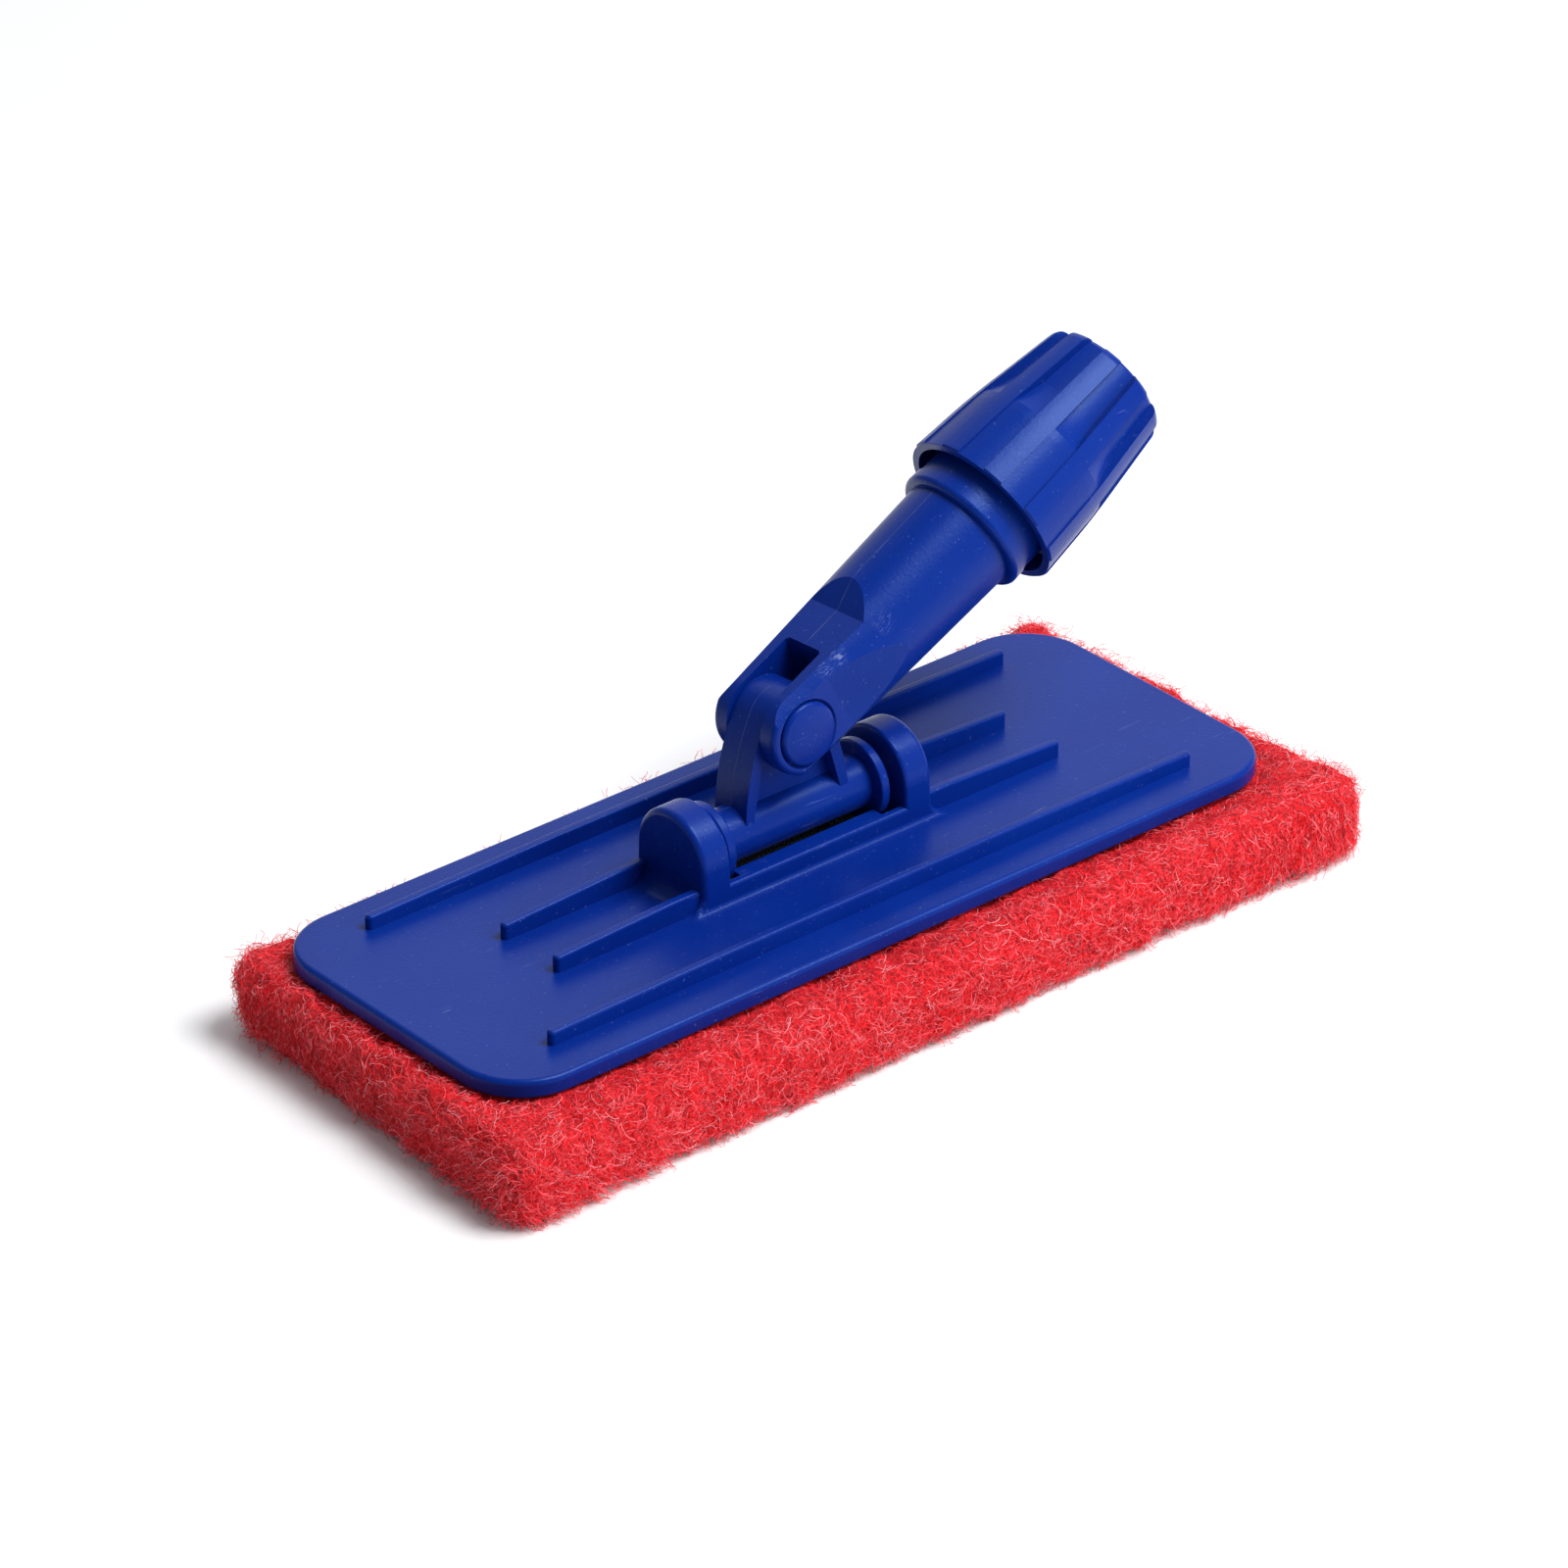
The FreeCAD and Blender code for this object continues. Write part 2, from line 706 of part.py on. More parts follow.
def pivot_half(core_inside):
    """One half of the pivot pin, head towards -Y: a tube, or the core pressed into it."""
    seat = ear_outer_half - pivot_head_sink
    rim = ear_outer_half + pivot_head_rim
    ease = pivot_head_ease
    bend = ease * (1 - math.sqrt(0.5))
    crown = rim + pivot_head_dome
    edge = pivot_head_radius - ease
    profile = face_of([
        segment(V(0, -seat, 0), V(pivot_head_radius, -seat, 0)),
        segment(V(pivot_head_radius, -seat, 0), V(pivot_head_radius, -rim + ease, 0)),
        arc(
            V(pivot_head_radius, -rim + ease, 0),
            V(pivot_head_radius - bend, -rim + bend, 0),
            V(edge, -rim, 0),
        ),
        arc(
            V(edge, -rim, 0),
            V((edge + pivot_head_flat) / 2, -rim - pivot_head_dome * 0.75, 0),
            V(pivot_head_flat, -crown, 0),
        ),
        segment(V(pivot_head_flat, -crown, 0), V(0, -crown, 0)),
        segment(V(0, -crown, 0), V(0, -seat, 0)),
    ])
    head = profile.revolve(V(0, 0, 0), Y_AXIS, 360)
    start = V(0, -seat, 0)
    if core_inside:
        body = head.fuse(Part.makeCylinder(pivot_core_radius, pivot_core_length, start, Y_AXIS))
    else:
        shank = Part.makeCylinder(pivot_radius, 2 * seat - pivot_end_gap, start, Y_AXIS)
        bore = Part.makeCylinder(
            pivot_core_radius, pivot_core_length + pivot_end_gap,
            V(0, seat - pivot_core_length - pivot_end_gap, 0), Y_AXIS,
        )
        body = head.fuse(shank).cut(bore)
    return body.removeSplitter()


def pivot_pin_front():
    """Headed tube half of the pivot pin, pushed in from the front."""
    return on_handle(pivot_half(False))


def pivot_pin_rear():
    """Headed core half of the pivot pin, pressed in from the back."""
    core = pivot_half(True)
    core.rotate(V(0, 0, 0), X_AXIS, 180)
    return on_handle(core)


def thread_sleeve():
    """Sleeve over the socket's spigot: round-edged collar, then the nut's thread."""
    inner = spigot_radius + spigot_gap
    step = socket_neck + spigot_length
    start = socket_neck
    ease = collar_round
    groove = start + collar_groove_place
    slope = (collar_radius - collar_top_radius) / (collar_length - ease)

    def cone(station):
        return collar_radius - slope * (station - start - ease)

    body = face_of([
        segment(V(start, 0, inner), V(start, 0, collar_radius - ease)),
        arc(
            V(start, 0, collar_radius - ease),
            V(start + ease * (1 - math.sqrt(0.5)), 0, collar_radius - ease * (1 - math.sqrt(0.5))),
            V(start + ease, 0, collar_radius),
        ),
        segment(V(start + ease, 0, collar_radius), V(groove, 0, cone(groove))),
        segment(V(groove, 0, cone(groove)), V(groove, 0, cone(groove) - collar_groove)),
        segment(
            V(groove, 0, cone(groove) - collar_groove),
            V(groove + collar_groove, 0, cone(groove) - collar_groove),
        ),
        segment(
            V(groove + collar_groove, 0, cone(groove) - collar_groove),
            V(collar_end, 0, collar_top_radius),
        ),
        segment(V(collar_end, 0, collar_top_radius), V(collar_end, 0, thread_radius)),
        segment(V(collar_end, 0, thread_radius), V(sleeve_end - 1, 0, thread_radius)),
        segment(V(sleeve_end - 1, 0, thread_radius), V(sleeve_end, 0, thread_radius - 1)),
        segment(V(sleeve_end, 0, thread_radius - 1), V(sleeve_end, 0, pole_radius)),
        segment(V(sleeve_end, 0, pole_radius), V(step, 0, pole_radius)),
        segment(V(step, 0, pole_radius), V(step, 0, inner)),
        segment(V(step, 0, inner), V(start, 0, inner)),
    ])
    return on_handle(body.revolve(V(0, 0, 0), X_AXIS, 360))


def nut_inside(place):
    """Inner radius of the nut's clamping cone at a distance from the nut's rim."""
    share = (place - nut_thread_end) / (nut_length - nut_lip - nut_thread_end)
    return nut_cone_radius + (nut_cone_end_radius - nut_cone_radius) * share


def clamp_collet():
    """Split ring that the nut's cone closes on the pole."""
    end = collet_start + collet_length
    inner = pole_radius + collet_bore_gap
    waist = collet_start + collet_foot_length
    ring = turned([
        V(collet_start, 0, inner), V(collet_start, 0, collet_foot_radius),
        V(waist, 0, nut_inside(waist - nut_start) - collet_nut_gap),
        V(end, 0, nut_inside(end - nut_start) - collet_nut_gap), V(end, 0, inner),
    ])
    slit = box(
        (collet_start - 1, end + 1), (-collet_slit / 2, collet_slit / 2), (-nut_rim_radius, 0),
    )
    return on_handle(ring.cut(slit))


def nut_outside(place):
    """Crest radius of the nut at a distance from its rim: a gentle, then a steeper taper."""
    if place <= nut_bend_place:
        return nut_rim_radius - nut_rim_slope * place
    return nut_bend_radius - nut_end_slope * (place - nut_bend_place)


def nut_blank():
    """Turned blank at the height of the nut's lobes."""
    bend = nut_bend_place
    corner = nut_end_round
    ease = corner * (1 - math.sqrt(0.5))
    knee = nut_bend_knee
    sag = knee * (nut_end_slope - nut_rim_slope) / 4
    return face_of([
        segment(V(0, 0, 0), V(0, 0, nut_rim_radius - nut_rim_bevel)),
        segment(V(0, 0, nut_rim_radius - nut_rim_bevel), V(nut_rim_bevel, 0, nut_outside(nut_rim_bevel))),
        segment(V(nut_rim_bevel, 0, nut_outside(nut_rim_bevel)), V(bend - knee, 0, nut_outside(bend - knee))),
        arc(
            V(bend - knee, 0, nut_outside(bend - knee)),
            V(bend, 0, nut_bend_radius - sag),
            V(bend + knee, 0, nut_outside(bend + knee)),
        ),
        segment(
            V(bend + knee, 0, nut_outside(bend + knee)),
            V(nut_length - corner, 0, nut_outside(nut_length - corner)),
        ),
        arc(
            V(nut_length - corner, 0, nut_outside(nut_length - corner)),
            V(nut_length - ease, 0, nut_end_radius - ease),
            V(nut_length, 0, nut_end_radius - corner),
        ),
        segment(V(nut_length, 0, nut_end_radius - corner), V(nut_length, 0, 0)),
        segment(V(nut_length, 0, 0), V(0, 0, 0)),
    ]).revolve(V(0, 0, 0), X_AXIS, 360)


def nut_cutter():
    """Ring left outside the valley floor: shallow by the rim, scooped, then deep."""
    scoop_end = nut_scoop_start + nut_scoop_length
    outer = nut_rim_radius + 4
    far = nut_length + 1

    def floor(place, depth):
        return V(place, 0, nut_outside(min(place, nut_length)) - depth)

    start = floor(0, nut_valley_shallow)
    bend = floor(nut_bend_place, nut_valley_shallow)
    lip = floor(nut_scoop_start, nut_valley_shallow)
    low = floor(scoop_end, nut_valley_deep)
    end = floor(nut_length - nut_valley_bevel, nut_valley_end)
    lowest = end.z - nut_valley_bevel * (far - end.x)
    middle = V(nut_scoop_start + nut_scoop_length / 2, 0, (lip.z + low.z) / 2 - nut_scoop_sag)
    return face_of([
        segment(V(-1, 0, start.z), start),
        segment(start, bend),
        segment(bend, lip),
        arc(lip, middle, low),
        segment(low, end),
        segment(end, V(far, 0, lowest)),
        segment(V(far, 0, lowest), V(far, 0, outer)),
        segment(V(far, 0, outer), V(-1, 0, outer)),
        segment(V(-1, 0, outer), V(-1, 0, start.z)),
    ]).revolve(V(0, 0, 0), X_AXIS, 360)


def valley_sector(index):
    """Wedge of one valley: one side radial and sharp, the other sloping and soft."""
    pitch = 360.0 / nut_lobes
    sharp = math.radians(nut_first_edge - index * pitch)
    soft = math.radians(nut_first_edge - index * pitch - pitch * (1 - nut_lobe_share))
    soft_out = soft - math.radians(nut_soft_slope)
    inner = nut_hole_radius
    outer = nut_rim_radius + 6

    def at(radius, angle):
        return V(-2, -radius * math.cos(angle), radius * math.sin(angle))

    return outline([at(inner, sharp), at(outer, sharp), at(outer, soft_out), at(inner, soft)]).extrude(
        V(nut_length + 4, 0, 0),
    )


def clamp_nut():
    """Ring nut: ten stepped lobes outside; mouth, thread bore and clamping cone inside."""
    body = nut_blank()
    ring = nut_cutter()
    for index in range(nut_lobes):
        body = body.cut(ring.common(valley_sector(index)))
    thread_bore = thread_radius + nut_thread_gap
    thread_start = nut_mouth_depth + nut_mouth_radius - thread_bore
    bore = turned([
        V(-1, 0, 0), V(-1, 0, nut_mouth_radius), V(nut_mouth_depth, 0, nut_mouth_radius),
        V(thread_start, 0, thread_bore), V(nut_thread_end - 1, 0, thread_bore),
        V(nut_thread_end, 0, nut_cone_radius), V(nut_length - nut_lip, 0, nut_cone_end_radius),
        V(nut_length - nut_lip, 0, nut_hole_radius), V(nut_length + 1, 0, nut_hole_radius),
        V(nut_length + 1, 0, 0),
    ])
    body = body.cut(bore)
    body.translate(V(nut_start, 0, 0))
    return on_handle(body)


PARTS = {
    "backing_plate": backing_plate(),
    "scrub_pad": scrub_pad(),
    "hook_strip_front": hook_strip(-1),
    "hook_strip_centre": hook_strip(0),
    "hook_strip_rear": hook_strip(1),
    "cross_axle": cross_axle(),
    "axle_keeper_left": axle_keeper(-1),
    "axle_keeper_right": axle_keeper(1),
    "keeper_screws": keeper_screws(),
    "swivel_yoke": swivel_yoke(),
    "fork_socket": fork_socket(),
    "pivot_pin_front": pivot_pin_front(),
    "pivot_pin_rear": pivot_pin_rear(),
    "thread_sleeve": thread_sleeve(),
    "clamp_collet": clamp_collet(),
    "clamp_nut": clamp_nut(),
}

os.makedirs("parts", exist_ok=True)
for name, shape in PARTS.items():
    shape.exportStep(os.path.join("parts", name + ".step"))
    print(name, "valid", shape.isValid(), "solids", len(shape.Solids), "volume", round(shape.Volume, 1))
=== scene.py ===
"""Looks of a swivel pad holder: moulded plastic, hook tape, steel, and a pad of tangled fibre."""

import json
import math

import bmesh
import bpy
import numpy as np
from mathutils import Euler, Matrix, Vector


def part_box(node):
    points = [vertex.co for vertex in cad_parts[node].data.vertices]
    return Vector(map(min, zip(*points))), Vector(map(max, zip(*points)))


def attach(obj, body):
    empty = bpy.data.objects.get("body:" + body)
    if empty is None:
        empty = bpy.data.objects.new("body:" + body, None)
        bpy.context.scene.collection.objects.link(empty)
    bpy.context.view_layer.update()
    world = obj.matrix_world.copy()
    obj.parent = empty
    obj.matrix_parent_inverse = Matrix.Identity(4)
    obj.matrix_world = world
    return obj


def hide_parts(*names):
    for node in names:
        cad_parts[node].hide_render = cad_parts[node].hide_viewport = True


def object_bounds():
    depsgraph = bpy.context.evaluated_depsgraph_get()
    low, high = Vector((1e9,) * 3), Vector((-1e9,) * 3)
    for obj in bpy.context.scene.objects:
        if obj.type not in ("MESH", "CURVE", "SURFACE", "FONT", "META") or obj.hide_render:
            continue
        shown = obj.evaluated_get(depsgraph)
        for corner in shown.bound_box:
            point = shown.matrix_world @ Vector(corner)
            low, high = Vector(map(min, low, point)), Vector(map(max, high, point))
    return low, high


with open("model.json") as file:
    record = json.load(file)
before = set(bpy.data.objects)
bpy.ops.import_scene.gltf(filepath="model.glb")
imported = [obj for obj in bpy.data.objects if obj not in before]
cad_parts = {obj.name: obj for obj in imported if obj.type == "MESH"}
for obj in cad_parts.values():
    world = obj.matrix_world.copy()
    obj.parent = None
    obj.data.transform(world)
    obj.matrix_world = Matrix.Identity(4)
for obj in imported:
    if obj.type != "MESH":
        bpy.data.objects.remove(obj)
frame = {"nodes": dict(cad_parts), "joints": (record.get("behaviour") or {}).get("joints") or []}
cad_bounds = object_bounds()
MM = 0.001

# --- Backing plate -------------------------------------------------------------------------
# The plate, its ribs and the two axle posts are one injection moulding in cobalt blue
# polypropylene. The tool leaves a fine even grain, and handling leaves a few pale rubs.
plate_blue = (0.0008, 0.0158, 0.186, 1)
plate_blue_pale = (0.0013, 0.0200, 0.206, 1)
gloss_blue = (0.42, 0.64, 1.0, 1)
# The next colour whitens rubs and dust, and is also the painted highlight on the socket's near shoulder.
rub_and_highlight_white = (0.42, 0.50, 0.75, 1)
plastic_gloss = 0.23
grain_depth = 0.1 * MM
# Sizes of the patterns on the plastic, in cells per metre.
flow_marks = 22.0
mould_grain = 1100.0
fine_speckle = 3200.0
dust_specks = 1400.0
rub_patches = 60.0
rub_streaks = (90.0, 1200.0, 1200.0)
rub_turn = (0.3, 0.5, 0.7)
# Share of the rub colour that a full rub and a speck of dust take.
rub_share = 0.14
dust_share = 0.08


def add_node(tree, kind, values=None, **settings):
    """One node in a tree, with its settings and with its sockets' own values, by name or number."""
    made = tree.nodes.new(kind)
    for key, value in settings.items():
        setattr(made, key, value)
    for key, value in (values or {}).items():
        made.inputs[key].default_value = value
    return made


def math_node(tree, operation, first, second=None, third=None, clamp=False):
    """Math node's output for sockets or plain numbers."""
    made = add_node(tree, "ShaderNodeMath", operation=operation, use_clamp=clamp)
    for place, value in enumerate((first, second, third)):
        if value is None:
            continue
        if isinstance(value, (int, float)):
            made.inputs[place].default_value = value
        else:
            tree.links.new(value, made.inputs[place])
    return made.outputs[0]


def ramp(tree, value, low, high, start=0.0, end=1.0):
    """Smooth step of a socket from one pair of values to another."""
    made = add_node(tree, "ShaderNodeMapRange", interpolation_type="SMOOTHSTEP")
    for place, number in zip(("From Min", "From Max", "To Min", "To Max"), (low, high, start, end)):
        made.inputs[place].default_value = number
    tree.links.new(value, made.inputs["Value"])
    return made.outputs["Result"]


def blend_colours(tree, share, first, second):
    """Colour between two colours, each a socket or a plain colour, by a share."""
    made = add_node(tree, "ShaderNodeMix", data_type="RGBA")
    tree.links.new(share, made.inputs[0])
    for place, value in ((6, first), (7, second)):
        if isinstance(value, tuple):
            made.inputs[place].default_value = value
        else:
            tree.links.new(value, made.inputs[place])
    return made.outputs[2]


def noise(tree, vector, scale, detail=2.0, distortion=0.0, offset=None):
    """Noise texture's value over a vector, moved by an offset."""
    if offset is not None:
        moved = add_node(tree, "ShaderNodeVectorMath", {1: offset}, operation="ADD")
        tree.links.new(vector, moved.inputs[0])
        vector = moved.outputs[0]
    values = {"Scale": scale, "Detail": detail, "Distortion": distortion}
    made = add_node(tree, "ShaderNodeTexNoise", values)
    tree.links.new(vector, made.inputs["Vector"])
    return made.outputs["Fac"]


def new_group(name, inputs, outputs):
    """Empty shader node group with its sockets, and its two end nodes."""
    group = bpy.data.node_groups.new(name, "ShaderNodeTree")
    for socket, kind in inputs:
        group.interface.new_socket(socket, in_out="INPUT", socket_type=kind)
    for socket, kind in outputs:
        group.interface.new_socket(socket, in_out="OUTPUT", socket_type=kind)
    return group, group.nodes.new("NodeGroupInput"), group.nodes.new("NodeGroupOutput")


def moulded_group():
    """Moulded plastic: fine noise is grain, slow noise flow marks, stretched noise's peaks rubs."""
    group, start, end = new_group(
        "moulded plastic",
        [("Vector", "NodeSocketVector"), ("Rubs", "NodeSocketFloat"), ("Deep", "NodeSocketColor"),
         ("Pale", "NodeSocketColor"), ("Rub colour", "NodeSocketColor")],
        [("Color", "NodeSocketColor"), ("Roughness", "NodeSocketFloat"), ("Height", "NodeSocketFloat")],
    )
    vector = start.outputs["Vector"]
    flow = ramp(group, noise(group, vector, flow_marks, 3.0, 0.6), 0.35, 0.70)
    speckle = noise(group, vector, fine_speckle, 1.0)
    grain = noise(group, vector, mould_grain, 2.0)
    dust = ramp(group, noise(group, vector, dust_specks, 0.0, offset=(3.0, 1.0, 2.0)), 0.80, 0.83)
    stretch = add_node(group, "ShaderNodeMapping", {"Rotation": rub_turn, "Scale": rub_streaks})
    group.links.new(vector, stretch.inputs["Vector"])
    streak = noise(group, stretch.outputs[0], 1.0, 3.0, 0.8)
    patch = ramp(group, noise(group, vector, rub_patches, 2.0, offset=(0.3, 0.2, 0.9)), 0.55, 0.72)
    rub = math_node(group, "MULTIPLY", ramp(group, streak, 0.64, 0.74), patch)
    rub = math_node(group, "MULTIPLY", rub, start.outputs["Rubs"], clamp=True)
    body = blend_colours(group, flow, start.outputs["Deep"], start.outputs["Pale"])
    dusty = math_node(group, "MULTIPLY", dust, dust_share)
    worn = math_node(group, "MAXIMUM", math_node(group, "MULTIPLY", rub, rub_share), dusty)
    coloured = blend_colours(group, worn, body, start.outputs["Rub colour"])
    rough = math_node(group, "MULTIPLY_ADD", speckle, 0.14, 0.25)
    rough = math_node(group, "MULTIPLY_ADD", rub, 0.18, rough)
    fine = math_node(group, "MULTIPLY", speckle, 0.5)
    group.links.new(coloured, end.inputs["Color"])
    group.links.new(rough, end.inputs["Roughness"])
    group.links.new(math_node(group, "MULTIPLY_ADD", grain, 0.7, fine), end.inputs["Height"])
    return group


moulded = moulded_group()


def new_material(name):
    """Material with an empty tree but its Principled BSDF, and that tree."""
    made = bpy.data.materials.new(name)
    made.use_nodes = True
    return made, made.node_tree, made.node_tree.nodes["Principled BSDF"]


def object_vector(tree):
    """Object coordinates."""
    return add_node(tree, "ShaderNodeTexCoord").outputs["Object"]


def bump(tree, shader, height, strength, depth):
    """Height into the shader's normal; depth in metres."""
    made = add_node(tree, "ShaderNodeBump", {"Strength": strength, "Distance": depth})
    tree.links.new(height, made.inputs["Height"])
    tree.links.new(made.outputs[0], shader.inputs["Normal"])


def plastic(name, deep, pale, rubs, extra=None):
    """Moulded plastic material. extra(tree) gives a mask of paler marks, seams and painted highlight, and
    a ridge in the surface.
    """
    made, tree, shader = new_material(name)
    surface = add_node(tree, "ShaderNodeGroup", node_tree=moulded)
    tree.links.new(object_vector(tree), surface.inputs["Vector"])
    surface.inputs["Rubs"].default_value = rubs
    surface.inputs["Deep"].default_value = deep
    surface.inputs["Pale"].default_value = pale
    surface.inputs["Rub colour"].default_value = rub_and_highlight_white
    colour = surface.outputs["Color"]
    height = surface.outputs["Height"]
    if extra is not None:
        marks, ridge = extra(tree)
        colour = blend_colours(tree, marks, colour, rub_and_highlight_white)
        height = math_node(tree, "MULTIPLY_ADD", ridge, 3.0, height)
    tree.links.new(colour, shader.inputs["Base Color"])
    tree.links.new(surface.outputs["Roughness"], shader.inputs["Roughness"])
    shader.inputs["Specular IOR Level"].default_value = plastic_gloss
    shader.inputs["Specular Tint"].default_value = gloss_blue
    bump(tree, shader, height, 0.5, grain_depth)
    return made


def dress(node, material):
    """Puts one material on every slot of a CAD node."""
    for slot in frame["nodes"][node].material_slots:
        slot.material = material


dress("backing_plate", plastic("cobalt plastic", plate_blue, plate_blue_pale, 1.0))

# --- Hook tape -----------------------------------------------------------------------------
# Three bands of black hook tape lie in recesses under the plate: woven nylon with rows of
# hooks. The middle one closes the slot under the yoke, where it is seen.
tape_black = (0.034, 0.037, 0.031, 1)
tape_grey = (0.105, 0.110, 0.092, 1)
hook_rows = 1.25 * MM
hook_height = 0.4 * MM


def tape_material():
    """Rows of hooks: two crossed triangle waves, their product is one bump per hook."""
    made, tree, shader = new_material("hook tape")
    split = add_node(tree, "ShaderNodeSeparateXYZ")
    tree.links.new(object_vector(tree), split.inputs[0])
    along = math_node(tree, "PINGPONG", math_node(tree, "DIVIDE", split.outputs["X"], hook_rows), 0.5)
    across = math_node(tree, "PINGPONG", math_node(tree, "DIVIDE", split.outputs["Y"], hook_rows), 0.5)
    hooks = math_node(tree, "MULTIPLY", math_node(tree, "MULTIPLY", along, across), 4.0)
    mess = noise(tree, object_vector(tree), 1800.0, 2.0)
    height = math_node(tree, "MULTIPLY_ADD", mess, 0.5, hooks)
    colour = blend_colours(tree, ramp(tree, height, 0.35, 1.2), tape_black, tape_grey)
    tree.links.new(colour, shader.inputs["Base Color"])
    tree.links.new(ramp(tree, mess, 0.3, 0.7, 0.35, 0.6), shader.inputs["Roughness"])
    bump(tree, shader, height, 0.8, hook_height)
    return made


tape = tape_material()
for strip in ("hook_strip_front", "hook_strip_centre", "hook_strip_rear"):
    dress(strip, tape)

# --- Scouring pad: the mat -----------------------------------------------------------------
# The pad is non-woven nylon: a lofty mat of curly fibres bonded with resin and grit, sawn
# to size. The mat here is one closed crowned surface, lumpy all over, ragged at its edges.
pad_low, pad_high = (np.array(corner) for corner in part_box("scrub_pad"))
plate_low, plate_high = (np.array(corner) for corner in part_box("backing_plate"))
pad_skew = 4.75 * MM
pad_corner = 4.0 * MM
pad_top_round = 4.5 * MM
pad_foot_round = 2.5 * MM
mat_inset = 1.3 * MM
mat_step = 1.15 * MM
plate_corner = 17.0 * MM
# The mat's lumps, coarse to fine: how far they move the surface, and how far apart they are.
mat_lumps = (
    (1.0 * MM, 9.0 * MM), (0.75 * MM, 3.6 * MM), (0.45 * MM, 1.7 * MM), (0.3 * MM, 1.2 * MM),
)
foot_lump = 1.3 * MM
foot_lump_spacing = 4.2 * MM
foot_band = 7.0 * MM
# Beside the plate the mat isn't pressed down, so its top swells within this way of the edge.
swell_way = 7.0 * MM
swell_lift = 1.2 * MM
swell_most = 1.6 * MM
skin_gap = 0.15 * MM
chance = np.random.default_rng(7)


def lattice_noise(points, size, seed):
    """Value noise, -1 to 1: random values on a cubic lattice, joined by smooth steps."""
    table = np.random.default_rng(seed).uniform(-1, 1, 4096)
    place = points / size
    cell = np.floor(place).astype(np.int64)
    part = place - cell
    part = part * part * (3 - 2 * part)
    total = np.zeros(len(points))
    for corner in range(8):
        step = np.array([corner & 1, (corner >> 1) & 1, (corner >> 2) & 1])
        key = cell + step
        hashed = (key[:, 0] * 73856093) ^ (key[:, 1] * 19349663) ^ (key[:, 2] * 83492791)
        weight = np.prod(np.where(step == 1, part, 1 - part), axis=1)
        total += weight * table[hashed % 4096]
    return total


def pad_outline(count):
    """Points evenly round a trapezoid with round corners: each corner an arc, joined by straights."""
    low, high = pad_low[:2], pad_high[:2]
    corners = np.array([
        [high[0], low[1]], [high[0] - pad_skew, high[1]], [low[0] + pad_skew, high[1]], [low[0], low[1]],
    ])
    turn = np.linspace(0, 1, 9)
    rows = []
    for place in range(4):
        here = corners[place]
        before = corners[place - 1] - here
        after = corners[(place + 1) % 4] - here
        first = here + before / np.linalg.norm(before) * pad_corner
        last = here + after / np.linalg.norm(after) * pad_corner
        share = turn[:, None]
        rows.append(first * (1 - share) ** 2 + 2 * here * share * (1 - share) + last * share ** 2)
    loop = np.vstack(rows + [rows[0][:1]])
    run = np.concatenate([[0], np.cumsum(np.linalg.norm(np.diff(loop, axis=0), axis=1))])
    wanted = np.linspace(0, run[-1], count, endpoint=False)
    return np.stack([np.interp(wanted, run, loop[:, 0]), np.interp(wanted, run, loop[:, 1])], axis=1)


def outside_plate(points):
    """Distance beyond the plate's rounded outline, seen from above; negative under the plate."""
    half = (plate_high[:2] - plate_low[:2]) / 2
    middle = (plate_high[:2] + plate_low[:2]) / 2
    gap = np.abs(points[:, :2] - middle) - (half - plate_corner)
    far = np.linalg.norm(np.maximum(gap, 0), axis=1)
    return far + np.minimum(gap.max(axis=1), 0) - plate_corner


def pad_section(count):
    """Section of the pad from under its middle round to above it.

    Four arrays: share of the way out, inset, height, and tilt of the outward normal.
    """
    height = pad_high[2] - pad_low[2] - 2 * mat_inset
    quarter = np.linspace(0, math.pi / 2, 6)
    foot, top = pad_foot_round, pad_top_round
    flat = 1 - (1 - np.linspace(0, 1, count)) ** 1.7
    side = np.linspace(foot, height - top, 12)[1:-1]
    share = np.concatenate([flat, np.ones(5 + len(side) + 6), flat[::-1][1:]])
    inset = np.concatenate([
        np.full(count, foot), foot * (1 - np.sin(quarter[1:])), np.zeros(len(side)),
        top * (1 - np.cos(quarter)), np.full(count - 1, top),
    ])
    level = np.concatenate([
        np.zeros(count), foot * (1 - np.cos(quarter[1:])), side,
        height - top + top * np.sin(quarter), np.full(count - 1, height),
    ])
    tilt = np.concatenate([
        np.full(count, -math.pi / 2), quarter[1:] - math.pi / 2, np.zeros(len(side)),
        quarter, np.full(count - 1, math.pi / 2),
    ])
    return share, inset, level, tilt


